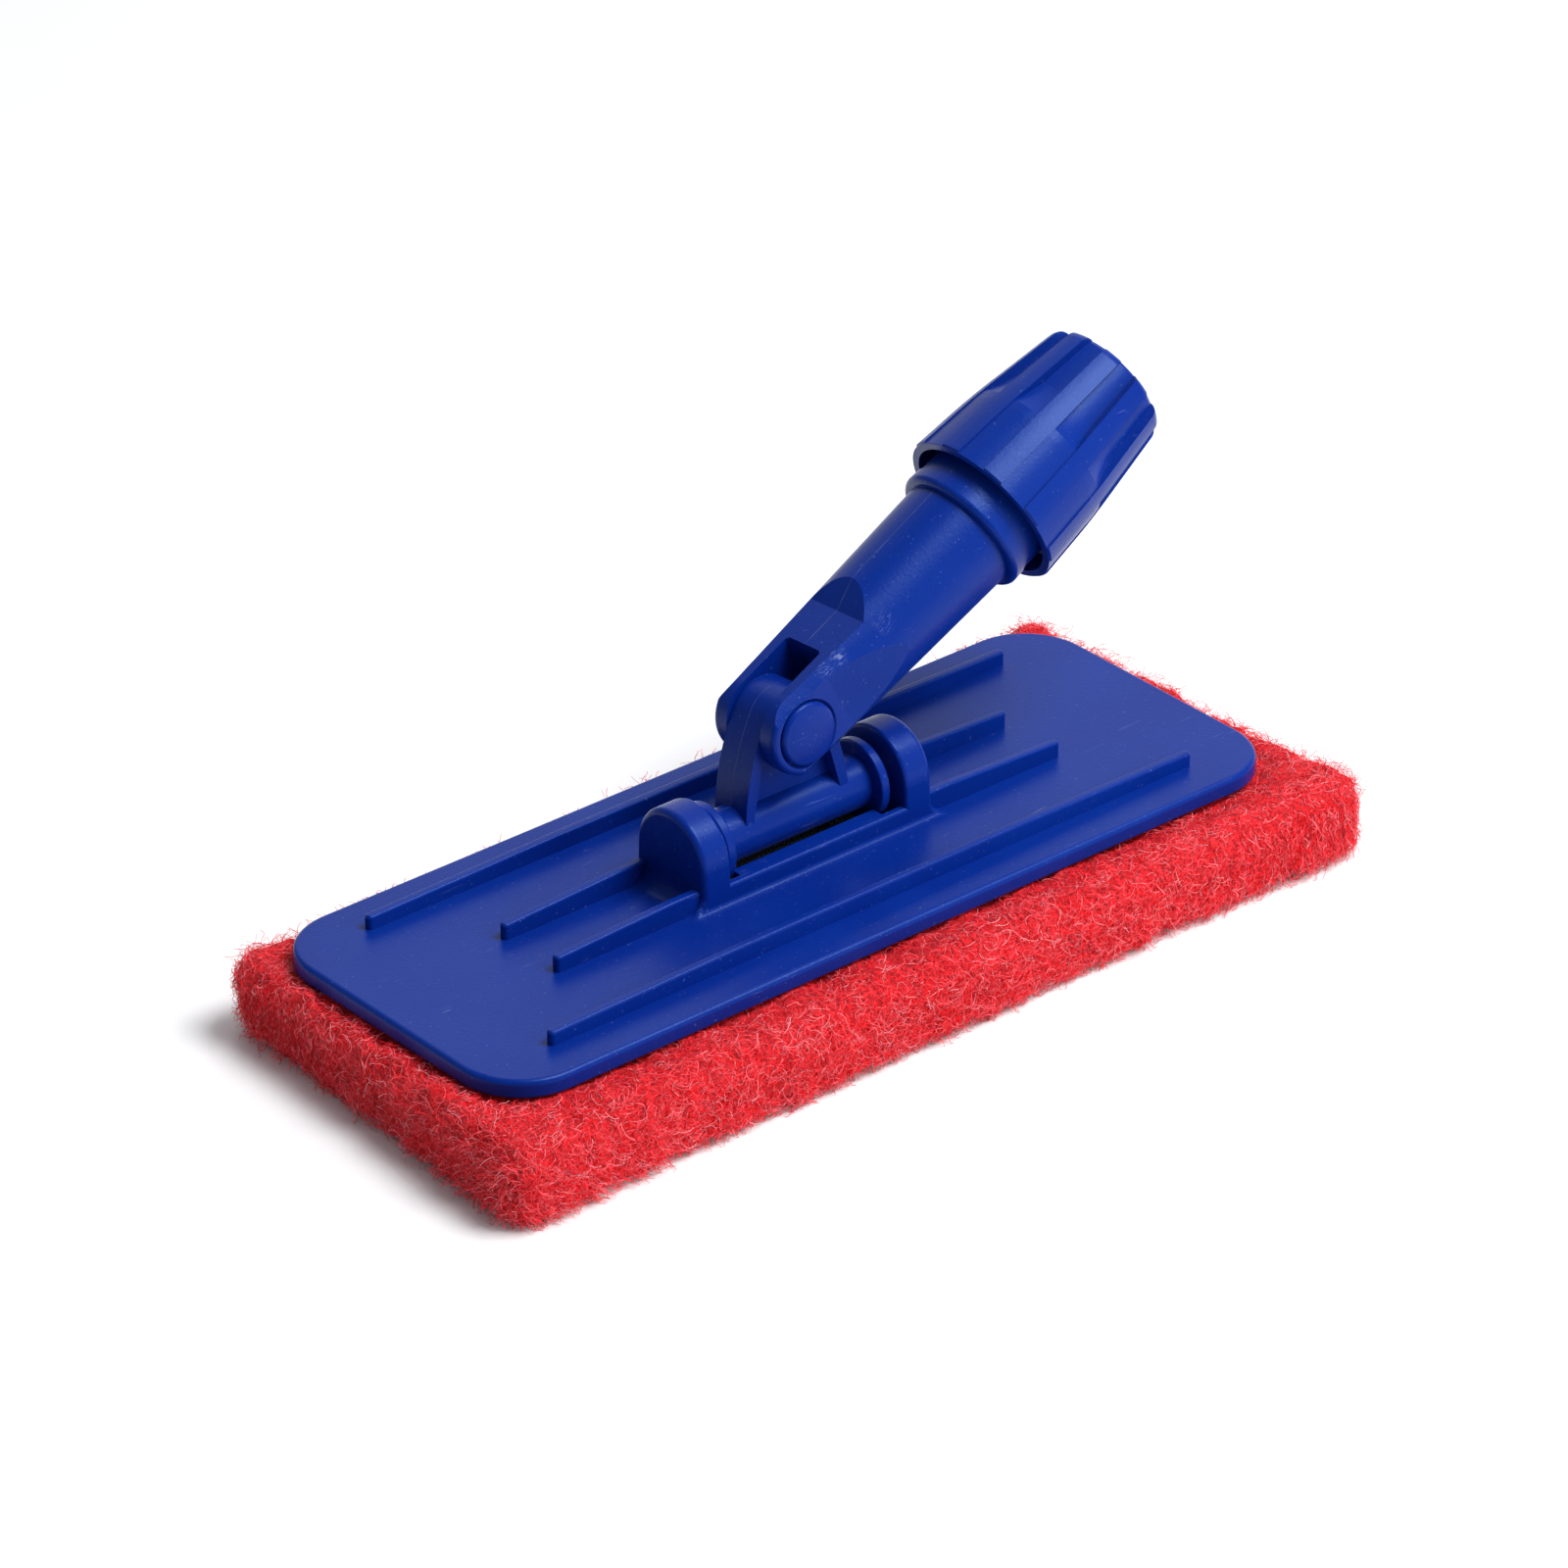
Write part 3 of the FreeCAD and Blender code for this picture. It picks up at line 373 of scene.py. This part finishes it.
def mat_surface():
    """Pad surface on a grid (round the outline, over the section), its outward normals and its grid size.

    Point = centre line + way out to the outline * share, then moved out by noise of several sizes.
    """
    perimeter = 2 * (pad_high[0] - pad_low[0] + pad_high[1] - pad_low[1])
    around = int(perimeter / mat_step)
    outline = pad_outline(around)
    share, inset, level, tilt = pad_section(26)
    reach = (pad_high[1] - pad_low[1]) / 2
    spine_y = (pad_low[1] + pad_high[1]) / 2
    spine_x = np.clip(outline[:, 0], pad_low[0] + reach, pad_high[0] - reach)
    spine = np.stack([spine_x, np.full(around, spine_y)], axis=1)
    way = outline - spine
    length = np.linalg.norm(way, axis=1)
    out = way / length[:, None]
    distance = share[None, :] * (length[:, None] - mat_inset - inset[None, :])
    flat = spine[:, None, :] + out[:, None, :] * distance[:, :, None]
    rise = np.broadcast_to(pad_low[2] + mat_inset + level, distance.shape)
    points = np.concatenate([flat, rise[:, :, None]], axis=2).reshape(-1, 3)
    normals = np.concatenate([
        out[:, None, :] * np.cos(tilt)[None, :, None],
        np.broadcast_to(np.sin(tilt)[None, :, None], (around, len(tilt), 1)),
    ], axis=2).reshape(-1, 3)
    lumps = 0
    for seed, (move, spacing) in enumerate(mat_lumps, 1):
        lumps = lumps + move * lattice_noise(points, spacing, seed)
    foot = np.clip(1 - (points[:, 2] - pad_low[2]) / foot_band, 0, 1)
    ragged = lattice_noise(points, foot_lump_spacing, len(mat_lumps) + 1)
    lumps = lumps + foot_lump * foot * ragged
    points = points + normals * lumps[:, None]
    beyond = np.clip(outside_plate(points) / swell_way, 0, 1)
    swell = beyond * beyond * (3 - 2 * beyond)
    ceiling = pad_high[2] - skin_gap + swell_most * swell
    upper = points[:, 2] > pad_high[2] - 3 * MM
    points[:, 2] += np.where(upper, swell_lift * swell, 0)
    points[:, 2] = np.clip(points[:, 2], pad_low[2] + skin_gap, ceiling)
    return points, normals, around, len(tilt)


def mesh_piece(name, points, faces, corners_each):
    """Mesh object from an array of points and an array of faces, smooth shaded."""
    made = bpy.data.meshes.new(name)
    count = len(faces)
    made.vertices.add(len(points))
    made.vertices.foreach_set("co", points.astype(np.float32).ravel())
    starts = np.arange(count, dtype=np.int32) * corners_each
    made.loops.add(count * corners_each)
    made.loops.foreach_set("vertex_index", faces.astype(np.int32).ravel())
    made.polygons.add(count)
    made.polygons.foreach_set("loop_start", starts)
    made.polygons.foreach_set("use_smooth", np.ones(count, dtype=bool))
    made.update(calc_edges=True)
    made.validate()
    piece = bpy.data.objects.new(name, made)
    bpy.context.scene.collection.objects.link(piece)
    return piece


def grid_faces(around, across):
    """Quads of a grid that closes on itself in its first direction."""
    first, second = np.meshgrid(np.arange(around), np.arange(across - 1), indexing="ij")
    after = (first + 1) % around
    quads = np.stack([
        first * across + second, after * across + second,
        after * across + second + 1, first * across + second + 1,
    ], axis=2)
    return quads.reshape(-1, 4)


mat_points, mat_normals, mat_around, mat_across = mat_surface()
mat = mesh_piece("scouring_mat", mat_points, grid_faces(mat_around, mat_across), 4)


def close_spine(piece):
    """Joins the points that meet on the spine, under and above, so that the surface is closed."""
    work = bmesh.new()
    work.from_mesh(piece.data)
    bmesh.ops.remove_doubles(work, verts=work.verts, dist=0.02 * MM)
    bmesh.ops.recalc_face_normals(work, faces=work.faces)
    work.to_mesh(piece.data)
    work.free()


close_spine(mat)

# The plain red is the nylon's own colour; the darker red is painted shade, the pink and the pale one are
# painted highlight.
fibre_red = (0.98, 0.010, 0.020, 1)
fibre_painted_shade = (0.58, 0.003, 0.008, 1)
fibre_highlight_pink = (0.99, 0.110, 0.145, 1)
fibre_highlight_pale = (0.99, 0.38, 0.42, 1)
tangle_relief = 0.8 * MM
# Layers of drawn fibre: cells per metre, half width of a line in noise values, and offset.
tangle_layers = (
    (620.0, 0.045, (0.0, 0.0, 0.0)), (840.0, 0.055, (1.3, 0.4, 2.2)), (430.0, 0.018, (4.1, 2.7, 0.8)),
)


def tangle_group():
    """Curly fibres: lines where smooth noise passes its middle value, three layers over each other;
    painted shade between them, painted highlight on them.
    """
    group, start, end = new_group(
        "tangled fibre",
        [("Vector", "NodeSocketVector"), ("Shade", "NodeSocketColor"), ("Body", "NodeSocketColor"),
         ("Light", "NodeSocketColor"), ("Pale", "NodeSocketColor")],
        [("Color", "NodeSocketColor"), ("Roughness", "NodeSocketFloat"), ("Height", "NodeSocketFloat")],
    )
    vector = start.outputs["Vector"]
    lines = []
    for scale, width, offset in tangle_layers:
        value = noise(group, vector, scale, 1.0, 1.4, offset)
        away = math_node(group, "ABSOLUTE", math_node(group, "SUBTRACT", value, 0.5))
        lines.append(ramp(group, away, 0.0, width, 1.0, 0.0))
    # Painted shade: where clumps and pits are low the colour falls to the shade colour. Painted
    # highlight: the fibre lines take the light colour, a few the pale one.
    clumps = ramp(group, noise(group, vector, 230.0, 3.0, 0.4, (0.5, 0.1, 0.7)), 0.34, 0.58)
    pits = ramp(group, noise(group, vector, 1100.0, 2.0, 0.8, (2.5, 3.1, 0.2)), 0.30, 0.52)
    depth = math_node(group, "MULTIPLY", math_node(group, "MULTIPLY_ADD", clumps, 0.55, 0.45), pits)
    base = blend_colours(group, depth, start.outputs["Shade"], start.outputs["Body"])
    tangled = math_node(group, "MAXIMUM", lines[0], math_node(group, "MULTIPLY", lines[1], 0.7))
    lit = blend_colours(group, math_node(group, "MULTIPLY", tangled, 0.35), base, start.outputs["Light"])
    sparse = ramp(group, noise(group, vector, 120.0, 2.0, 0.0, (7.0, 1.0, 3.0)), 0.46, 0.66)
    few = math_node(group, "MULTIPLY", math_node(group, "MULTIPLY", lines[2], sparse), 0.45)
    pale = blend_colours(group, few, lit, start.outputs["Pale"])
    height = math_node(group, "MULTIPLY_ADD", tangled, 0.6, depth)
    height = math_node(group, "MULTIPLY_ADD", lines[2], 0.4, height)
    group.links.new(pale, end.inputs["Color"])
    group.links.new(math_node(group, "MULTIPLY_ADD", tangled, -0.15, 0.62), end.inputs["Roughness"])
    group.links.new(height, end.inputs["Height"])
    return group


def mat_material():
    """Bonded mat: the tangle in red, with painted shade deep between the fibres and painted highlight on
    them.
    """
    made, tree, shader = new_material("red fibre mat")
    tangle = add_node(tree, "ShaderNodeGroup", node_tree=tangle_group())
    tree.links.new(object_vector(tree), tangle.inputs["Vector"])
    tangle.inputs["Shade"].default_value = fibre_painted_shade
    tangle.inputs["Body"].default_value = fibre_red
    tangle.inputs["Light"].default_value = fibre_highlight_pink
    tangle.inputs["Pale"].default_value = fibre_highlight_pale
    tree.links.new(tangle.outputs["Color"], shader.inputs["Base Color"])
    tree.links.new(tangle.outputs["Roughness"], shader.inputs["Roughness"])
    shader.inputs["Specular IOR Level"].default_value = 0.3
    bump(tree, shader, tangle.outputs["Height"], 0.9, tangle_relief)
    return made


mat.data.materials.append(mat_material())
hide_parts("scrub_pad")
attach(mat, "plate")

# --- Scouring pad: loose fibres ------------------------------------------------------------
# Curled nylon fibres stand out of the mat all over, all red nylon, with painted shade on some and painted
# highlight, pink or pale, on others. They are longest along the sawn edges, where the saw pulled them
# out.
fibre_joints = 8
fibre_sides = 3
fibre_radius = (0.045 * MM, 0.08 * MM)
fibre_length = (2.0 * MM, 6.0 * MM)
curl_radius = (1.4 * MM, 6.0 * MM)
fibres_each = 4300
fibre_wave = 0.3 * MM
root_scatter = 0.4 * MM
# At the far right corner the saw left a higher fringe.
fringe_corner = np.array([plate_high[0] - 45 * MM, plate_high[1] - 12 * MM])
fringe_way = 12 * MM
fringe_height = 2.6 * MM


def fibre_points(roots, normals, lift):
    """Centre lines: each fibre is part of a circle with a wave on it, mostly along the surface.

    Point = root + curl * ((cos a - cos a0) * tangent + (sin a - sin a0) * leaning side) + wave across.
    """
    count = len(roots)
    other = chance.normal(size=(count, 3))
    first = np.cross(normals, other)
    first /= np.linalg.norm(first, axis=1)[:, None]
    second = np.cross(normals, first)
    lean = np.clip(chance.normal(0.25, 0.35, count) * lift, -0.5, 1.45)
    side = second * np.cos(lean)[:, None] + normals * np.sin(lean)[:, None]
    curl = chance.uniform(*curl_radius, count)
    start = chance.uniform(-1.2, 0.4, count)
    sweep = chance.uniform(*fibre_length, count) / curl
    share = np.linspace(0, 1, fibre_joints)
    angle = start[:, None] + sweep[:, None] * share[None, :]
    across = np.cross(first, side)
    turns = chance.uniform(4, 10, count)[:, None]
    wave = fibre_wave * np.sin(share[None, :] * turns + chance.uniform(0, 6, count)[:, None])
    ahead = curl[:, None] * (np.cos(angle) - np.cos(start)[:, None])
    aside = curl[:, None] * (np.sin(angle) - np.sin(start)[:, None])
    lines = roots[:, None, :] + first[:, None, :] * ahead[:, :, None]
    lines = lines + side[:, None, :] * aside[:, :, None]
    return lines + across[:, None, :] * wave[:, :, None]


def keep_clear(lines):
    """Fibres stay above the floor and under or beside the plate, low but for a fringe at one corner."""
    flat = lines.reshape(-1, 3)
    near = outside_plate(flat)
    corner = np.clip((flat[:, :2] - fringe_corner) / fringe_way, 0, 1).min(axis=1)
    free = pad_high[2] + np.clip(near * 0.22, 0, 1.5 * MM) + fringe_height * corner
    roof = np.where(near < 0.35 * MM, pad_high[2] - 0.2 * MM, free)
    flat[:, 2] = np.clip(flat[:, 2], pad_low[2] + skin_gap, roof)
    return flat.reshape(lines.shape)


def fibre_tubes(name, lines, tint):
    """Three-sided closed tubes along the centre lines; each carries its own tint from 0 to 1."""
    count = len(lines)
    ahead = np.gradient(lines, axis=1)
    ahead /= np.linalg.norm(ahead, axis=2)[:, :, None] + 1e-12
    guide = np.where(np.abs(ahead[:, :1, 2:]) > 0.8, np.array([1.0, 0, 0]), np.array([0, 0, 1.0]))
    one = np.cross(ahead, np.broadcast_to(guide, ahead.shape))
    one /= np.linalg.norm(one, axis=2)[:, :, None] + 1e-12
    two = np.cross(ahead, one)
    turn = np.arange(fibre_sides) * 2 * math.pi / fibre_sides
    thick = chance.uniform(*fibre_radius, count)[:, None, None, None]
    ring = one[:, :, None, :] * np.cos(turn)[:, None] + two[:, :, None, :] * np.sin(turn)[:, None]
    points = (lines[:, :, None, :] + thick * ring).reshape(-1, 3)
    joint, corner = np.meshgrid(np.arange(fibre_joints - 1), np.arange(fibre_sides), indexing="ij")
    after = (corner + 1) % fibre_sides
    quad = np.stack([
        joint * fibre_sides + corner, joint * fibre_sides + after,
        (joint + 1) * fibre_sides + after, (joint + 1) * fibre_sides + corner,
    ], axis=2).reshape(-1, 4)
    wall = np.concatenate([quad[:, [0, 1, 2]], quad[:, [0, 2, 3]]])
    last = (fibre_joints - 1) * fibre_sides
    ends = np.array([[0, 2, 1], [last, last + 1, last + 2]])
    shape = np.concatenate([wall, ends])
    base = np.arange(count)[:, None, None] * fibre_joints * fibre_sides
    piece = mesh_piece(name, points, (shape[None, :, :] + base).reshape(-1, 3), 3)
    attribute = piece.data.attributes.new("tint", "FLOAT", "POINT")
    attribute.data.foreach_set("value", np.repeat(tint, fibre_joints * fibre_sides).astype(np.float32))
    return piece


def fibre_material():
    """Loose fibre: its tint picks darker red as painted shade, plain red, and pink and pale as painted
    highlight, with noise along it.
    """
    made, tree, shader = new_material("loose red fibre")
    tint = add_node(tree, "ShaderNodeAttribute", attribute_name="tint").outputs["Fac"]
    mottle = noise(tree, object_vector(tree), 900.0, 1.0)
    spread = math_node(tree, "MULTIPLY_ADD", mottle, 0.16, tint)
    colour = blend_colours(tree, ramp(tree, spread, 0.0, 0.20), fibre_painted_shade, fibre_red)
    colour = blend_colours(tree, ramp(tree, spread, 0.35, 0.80), colour, fibre_highlight_pink)
    colour = blend_colours(tree, ramp(tree, spread, 0.88, 1.08), colour, fibre_highlight_pale)
    tree.links.new(colour, shader.inputs["Base Color"])
    tree.links.new(ramp(tree, mottle, 0.3, 0.7, 0.38, 0.6), shader.inputs["Roughness"])
    shader.inputs["Specular IOR Level"].default_value = 0.35
    return made


loose = fibre_material()
clear_of_plate = outside_plate(mat_points) > 0.4 * MM
on_top = (mat_normals[:, 2] > 0.5) & clear_of_plate
on_side = np.abs(mat_normals[:, 2]) <= 0.7
front = on_side & (mat_normals[:, 1] < -0.5)
regions = {
    "top_left": on_top & (mat_points[:, 0] < 0),
    "top_right": on_top & (mat_points[:, 0] >= 0),
    "front_left": front & (mat_points[:, 0] < -0.3 * plate_high[0]),
    "front_middle": front & (np.abs(mat_points[:, 0]) <= 0.4 * plate_high[0]),
    "front_right": front & (mat_points[:, 0] > 0.3 * plate_high[0]),
    "rear": on_side & (mat_normals[:, 1] > 0.5),
    "left": on_side & (mat_normals[:, 0] < -0.5),
    "right": on_side & (mat_normals[:, 0] > 0.5),
    "under": mat_normals[:, 2] < -0.7,
}
for region, chosen in regions.items():
    found = np.flatnonzero(chosen)
    picked = chance.choice(found, fibres_each)
    roots = mat_points[picked] + chance.normal(0, root_scatter, (fibres_each, 3))
    edge = np.exp(-((pad_high[2] - mat_points[picked, 2]) / (4 * MM)) ** 2)
    edge = edge * np.exp(-(np.abs(mat_normals[picked, 2]) - 0.6) ** 2 / 0.1)
    lift = 0.5 + 1.1 * edge * chance.uniform(0, 1, fibres_each)
    if region == "under":
        lift = np.full(fibres_each, 0.1)
    lines = keep_clear(fibre_points(roots, mat_normals[picked], lift))
    fibres = fibre_tubes("fibres_" + region, lines, chance.uniform(0, 1, fibres_each) ** 1.15)
    fibres.data.materials.append(loose)
    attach(fibres, "plate")

# --- Axle, keepers and screws --------------------------------------------------------------
# The axle is drawn steel rod, the screws are plated self-tappers. The keepers that close
# the posts from below are moulded in the plate's plastic.
steel_grey = (0.50, 0.51, 0.53, 1)
steel_dark = (0.33, 0.34, 0.36, 1)
drawn_lines = (40.0, 3000.0, 3000.0)
drawn_depth = 0.04 * MM


def steel_material():
    """Drawn steel: fine lines along X from noise stretched that way."""
    made, tree, shader = new_material("drawn steel")
    stretch = add_node(tree, "ShaderNodeMapping", {"Scale": drawn_lines})
    tree.links.new(object_vector(tree), stretch.inputs["Vector"])
    lines = noise(tree, stretch.outputs[0], 1.0, 3.0)
    colour = blend_colours(tree, ramp(tree, lines, 0.3, 0.7), steel_dark, steel_grey)
    tree.links.new(colour, shader.inputs["Base Color"])
    tree.links.new(ramp(tree, lines, 0.3, 0.7, 0.22, 0.42), shader.inputs["Roughness"])
    shader.inputs["Metallic"].default_value = 1.0
    bump(tree, shader, lines, 0.3, drawn_depth)
    return made


steel = steel_material()
dress("cross_axle", steel)
dress("keeper_screws", steel)
keeper_plastic = plastic("keeper plastic", plate_blue, plate_blue_pale, 0.4)
for keeper in ("axle_keeper_left", "axle_keeper_right"):
    dress(keeper, keeper_plastic)

# --- Yoke ----------------------------------------------------------------------------------
# The yoke is one blue moulding: a flanged tube, an A-shaped frame and a cross eye. The two
# halves of its tool meet on the frame's middle plane and leave a thin pale seam over the eye.
yoke_lean = math.radians(4.0)
joints = {joint["name"]: joint for joint in frame["joints"]}
axle_place = Vector(joints["yoke_tilt"]["pos_m"])
seam_width = 0.11 * MM


def local_vector(tree, place, turn):
    """Object coordinates seen from a piece's own place and turn."""
    made = add_node(tree, "ShaderNodeMapping", vector_type="TEXTURE")
    made.inputs["Location"].default_value = place
    made.inputs["Rotation"].default_value = turn
    tree.links.new(object_vector(tree), made.inputs["Vector"])
    return made.outputs[0]


def seam(tree, vector, upper_only):
    """Thin ridge on the plane Y = 0 of a vector, broken by slow noise."""
    split = add_node(tree, "ShaderNodeSeparateXYZ")
    tree.links.new(vector, split.inputs[0])
    away = math_node(tree, "ABSOLUTE", split.outputs["Y"])
    line = ramp(tree, away, seam_width * 0.4, seam_width, 1.0, 0.0)
    if upper_only:
        line = math_node(tree, "MULTIPLY", line, ramp(tree, split.outputs["Z"], 0.0, 2 * MM))
    broken = ramp(tree, noise(tree, vector, 160.0, 2.0), 0.42, 0.58, 0.25, 1.0)
    return line, math_node(tree, "MULTIPLY", line, broken)


def yoke_marks(tree):
    """Seam over the yoke's middle plane."""
    vector = local_vector(tree, axle_place, (-yoke_lean, 0, 0))
    line, broken = seam(tree, vector, False)
    return math_node(tree, "MULTIPLY", broken, 0.10), line


dress("swivel_yoke", plastic("yoke plastic", plate_blue, plate_blue_pale, 1.0, yoke_marks))

# --- Socket and pivot pin ------------------------------------------------------------------
# The socket is the largest moulding of the handle: a forked end, then a tube for the pole.
# A seam runs along its top, and pale spots on the fork's near shoulder and the start of the tube are
# painted highlight.
eye_place = Vector(joints["handle_tilt"]["pos_m"])
handle_way = Vector(joints["nut_turn"]["axis"])
handle_side = -Vector(joints["handle_tilt"]["axis"])
handle_up = handle_way.cross(handle_side)
handle_turn = Matrix((handle_way, handle_side, handle_up)).transposed().to_euler("XYZ")
# Painted highlight spots on the near shoulder: middle along, across and above the eye, radius, strength.
painted_highlight_spots = (
    (Vector((16.5, -10.8, 10.0)) * MM, 3.0 * MM, 0.34),
    (Vector((30.0, -12.8, 9.0)) * MM, 4.2 * MM, 0.13),
    (Vector((12.0, -10.5, 10.0)) * MM, 2.8 * MM, 0.20),
)


def spot(tree, vector, middle, radius, strength):
    """Soft round mask about a point."""
    made = add_node(tree, "ShaderNodeVectorMath", {1: middle}, operation="DISTANCE")
    tree.links.new(vector, made.inputs[0])
    return ramp(tree, made.outputs["Value"], radius * 0.2, radius, strength, 0.0)


def socket_seam_and_highlight(tree):
    """Seam along the top, and painted highlight spots: soft round masks through stretched noise."""
    vector = local_vector(tree, eye_place, handle_turn)
    line, broken = seam(tree, vector, True)
    smear = add_node(tree, "ShaderNodeMapping", {"Scale": (700.0, 2000.0, 2000.0)})
    tree.links.new(vector, smear.inputs["Vector"])
    cloud = ramp(tree, noise(tree, smear.outputs[0], 1.0, 4.0, 0.5), 0.46, 0.66)
    total = math_node(tree, "MULTIPLY", broken, 0.16)
    # Each spot is painted highlight, mixed in the rub and highlight white.
    for middle, radius, strength in painted_highlight_spots:
        painted_spot = math_node(tree, "MULTIPLY", spot(tree, vector, middle, radius, strength), cloud)
        total = math_node(tree, "MAXIMUM", total, painted_spot)
    return total, line


dress("fork_socket", plastic("socket plastic", plate_blue, plate_blue_pale, 1.2, socket_seam_and_highlight))
pin_plastic = plastic("pin plastic", plate_blue, plate_blue_pale, 0.6)
for half in ("pivot_pin_front", "pivot_pin_rear"):
    dress(half, pin_plastic)

# --- Clamp: sleeve, collet and nut ---------------------------------------------------------
# The sleeve and the ring nut are blue mouldings, the nut with ten stepped lobes for the
# hand. Inside, a pale split collet is squeezed on the pole by the nut's cone.
collet_grey = (0.60, 0.61, 0.60, 1)
collet_pale = (0.72, 0.73, 0.71, 1)
dress("thread_sleeve", plastic("sleeve plastic", plate_blue, plate_blue_pale, 0.8))
dress("clamp_nut", plastic("nut plastic", plate_blue, plate_blue_pale, 1.2))
dress("clamp_collet", plastic("collet plastic", collet_grey, collet_pale, 0.4))

# --- Studio --------------------------------------------------------------------------------
# A pale floor that runs out of sight, a dim room, a soft light high on the right, a broad
# panel low at the front, and a weaker one behind, which the plate's flat top reflects. The
# front panel only fills the shadows, so it leaves no reflection in the plastic.
floor_white = (0.86, 0.86, 0.87, 1)
floor_grey = (0.82, 0.82, 0.83, 1)
floor_half = 4.0
room_light = (0.86, 0.95, 1, 1)
light_aim = (0, 0, 0.03)


def studio_floor():
    """Flat square under the object."""
    corners = np.array([[-1, -1, 0], [1, -1, 0], [1, 1, 0], [-1, 1, 0]], float) * floor_half
    corners[:, 2] = cad_bounds[0][2]
    piece = mesh_piece("floor", corners, np.array([[0, 1, 2, 3]]), 4)
    made, tree, shader = new_material("pale floor")
    mottle = ramp(tree, noise(tree, object_vector(tree), 3.0, 4.0), 0.3, 0.7)
    tree.links.new(blend_colours(tree, mottle, floor_grey, floor_white), shader.inputs["Base Color"])
    shader.inputs["Roughness"].default_value = 0.8
    piece.data.materials.append(made)


def soft_light(name, place, size, power):
    """Square area light that faces the object."""
    lamp = bpy.data.lights.new(name, "AREA")
    lamp.size = size
    lamp.energy = power
    made = bpy.data.objects.new(name, lamp)
    made.location = place
    made.rotation_euler = (Vector(light_aim) - Vector(place)).to_track_quat("-Z", "Y").to_euler()
    bpy.context.scene.collection.objects.link(made)
    return made


studio_floor()
world = bpy.data.worlds.new("dim room")
world.use_nodes = True
world.node_tree.nodes["Background"].inputs["Color"].default_value = room_light
world.node_tree.nodes["Background"].inputs["Strength"].default_value = 0.28
bpy.context.scene.world = world
soft_light("key", (0.46, -0.56, 1.42), 0.8, 30)
front_panel = soft_light("front panel", (0.75, -1.55, 0.50), 1.3, 20)
front_panel.visible_glossy = False
soft_light("back panel", (0.9, 1.05, 1.0), 2.0, 9)
bpy.context.scene.view_settings.view_transform = "Standard"

camera = bpy.data.objects.new("camera", bpy.data.cameras.new("camera"))
camera.data.sensor_width = 36.0
camera.data.lens = 168.7
camera.location = (-0.9562, -1.1159, 0.8783)
camera.rotation_euler = Euler((math.radians(60.317), 0, math.radians(-40.581)))
bpy.context.scene.collection.objects.link(camera)
bpy.context.scene.camera = camera
